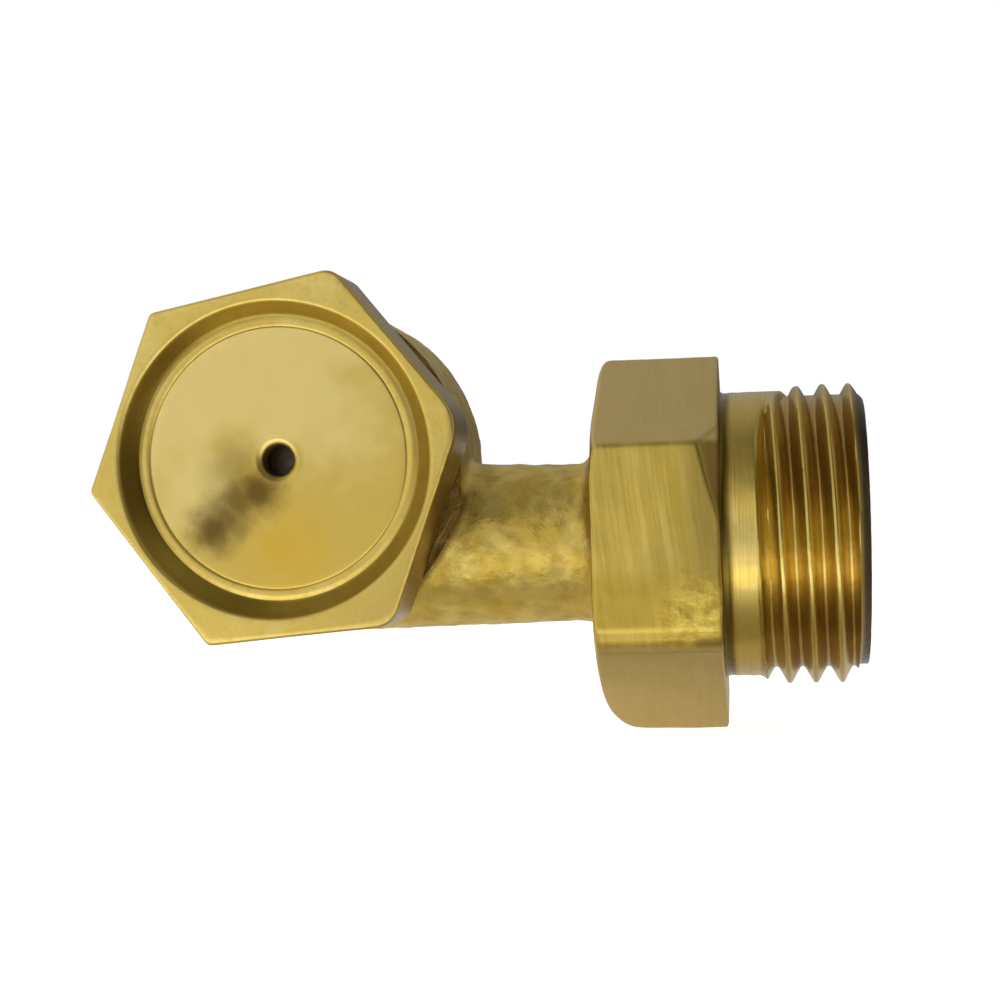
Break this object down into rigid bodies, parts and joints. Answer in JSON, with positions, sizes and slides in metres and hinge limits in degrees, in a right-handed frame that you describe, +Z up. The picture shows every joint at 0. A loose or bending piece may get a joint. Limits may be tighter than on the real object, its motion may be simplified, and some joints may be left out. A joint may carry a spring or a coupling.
{
  "type": "oil burner nozzle",
  "caption": "Brass elbow oil burner nozzle with a side inlet thread, a spanner collar, a screwed hexagon cap with a recessed orifice plate, a swirl disc and a push-in inlet strainer.",
  "frame": {"origin": "on the inlet thread's axis, in the plane of the spanner collar's shoulder, against which the mating fitting seals", "axes": "+X out of the inlet spigot along its thread axis, -Y is the spray direction out of the cap's face, +Z up, with the cap's axis above the inlet's"},
  "size_m": [0.0521, 0.0239, 0.0322],
  "materials": {
    "cast_brass": "rough cast brass, partly filed bright",
    "turned_brass": "turned and filed brass, satin",
    "polished_brass": "pale, finely turned brass, slightly sooted",
    "copper": "annealed copper, dull",
    "bronze_gauze": "woven bronze wire"
  },
  "bodies": {
    "elbow": {"elbow_body": "cast_brass"},
    "cap_lift": {"cap_washer": "copper"},
    "cap_turn": {"cap": "turned_brass", "orifice_plate": "polished_brass", "distributor": "turned_brass", "lock_screw": "turned_brass"},
    "strainer": {"strainer_collar": "turned_brass", "strainer_gauze": "bronze_gauze", "strainer_end_cap": "turned_brass"}
  },
  "joints": [
    {"name": "cap_rise", "type": "slide", "parent": "elbow", "child": "cap_lift", "axis": [0, -1, 0], "range_m": [0, 0.0067]},
    {"name": "cap_unscrew", "type": "hinge", "parent": "cap_lift", "child": "cap_turn", "pos_m": [-0.0295, 0, 0.00595], "axis": [0, -1, 0], "range_deg": [0, 1800]},
    {"name": "strainer_pull", "type": "slide", "parent": "elbow", "child": "strainer", "axis": [1, 0, 0], "range_m": [0, 0.017]}
  ],
  "couplings": [
    {"joint": "cap_rise", "follows": "cap_unscrew", "m_per_rad": 0.00021276}
  ]
}
